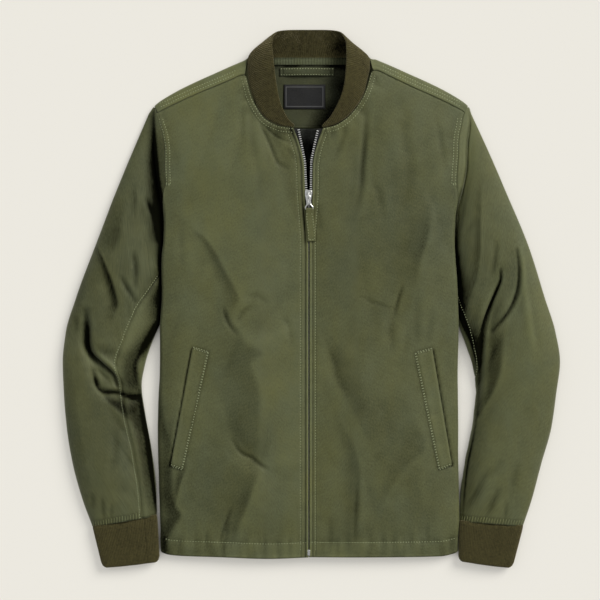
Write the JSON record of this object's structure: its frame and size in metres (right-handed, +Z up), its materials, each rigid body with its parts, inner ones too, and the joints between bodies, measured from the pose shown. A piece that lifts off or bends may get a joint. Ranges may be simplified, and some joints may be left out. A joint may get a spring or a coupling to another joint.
{
  "type": "bomber jacket laid flat",
  "caption": "Zip-front bomber jacket lying flat on its back, with rib collar and cuffs, slanted welt pockets and a zip open at the neck.",
  "frame": {"origin": "middle of the laid-out jacket's box, on the surface that it lies on", "axes": "+Z up out of the surface, +Y from the hem to the collar, +X towards the wearer's left, which is the viewer's right from above"},
  "size_m": [0.6958, 0.7543, 0.0368],
  "materials": {
    "shell": "olive waxed-look cotton, matt",
    "rib": "dark olive rib knit",
    "lining": "near-black lining",
    "neck_tape": "ribbed olive tape",
    "label": "plain black woven label",
    "zip_tape": "black woven zip tape",
    "zip_metal": "satin silver zip metal"
  },
  "bodies": {
    "jacket": {"front_right": "shell", "front_left": "shell", "back": "shell", "sleeve_top_right": "shell", "sleeve_top_left": "shell", "sleeve_under_right": "shell", "sleeve_under_left": "shell", "cuff_right": "rib", "cuff_left": "rib", "collar": "rib", "back_facing": "shell", "back_lining": "lining", "neck_tape": "neck_tape", "hanger_loop": "shell", "neck_label": "label", "welt_right": "shell", "welt_left": "shell", "zip_tape_right": "zip_tape", "zip_tape_left": "zip_tape", "slider": "zip_metal", "bottom_stop": "zip_metal"},
    "pull": {"pull": "zip_metal", "pull_tab": "shell"}
  },
  "joints": [
    {"name": "pull_hinge", "type": "hinge", "parent": "jacket", "child": "pull", "pos_m": [-0.0038, 0.1434, 0.031], "axis": [-1, 0, 0], "range_deg": [0, 150]}
  ]
}
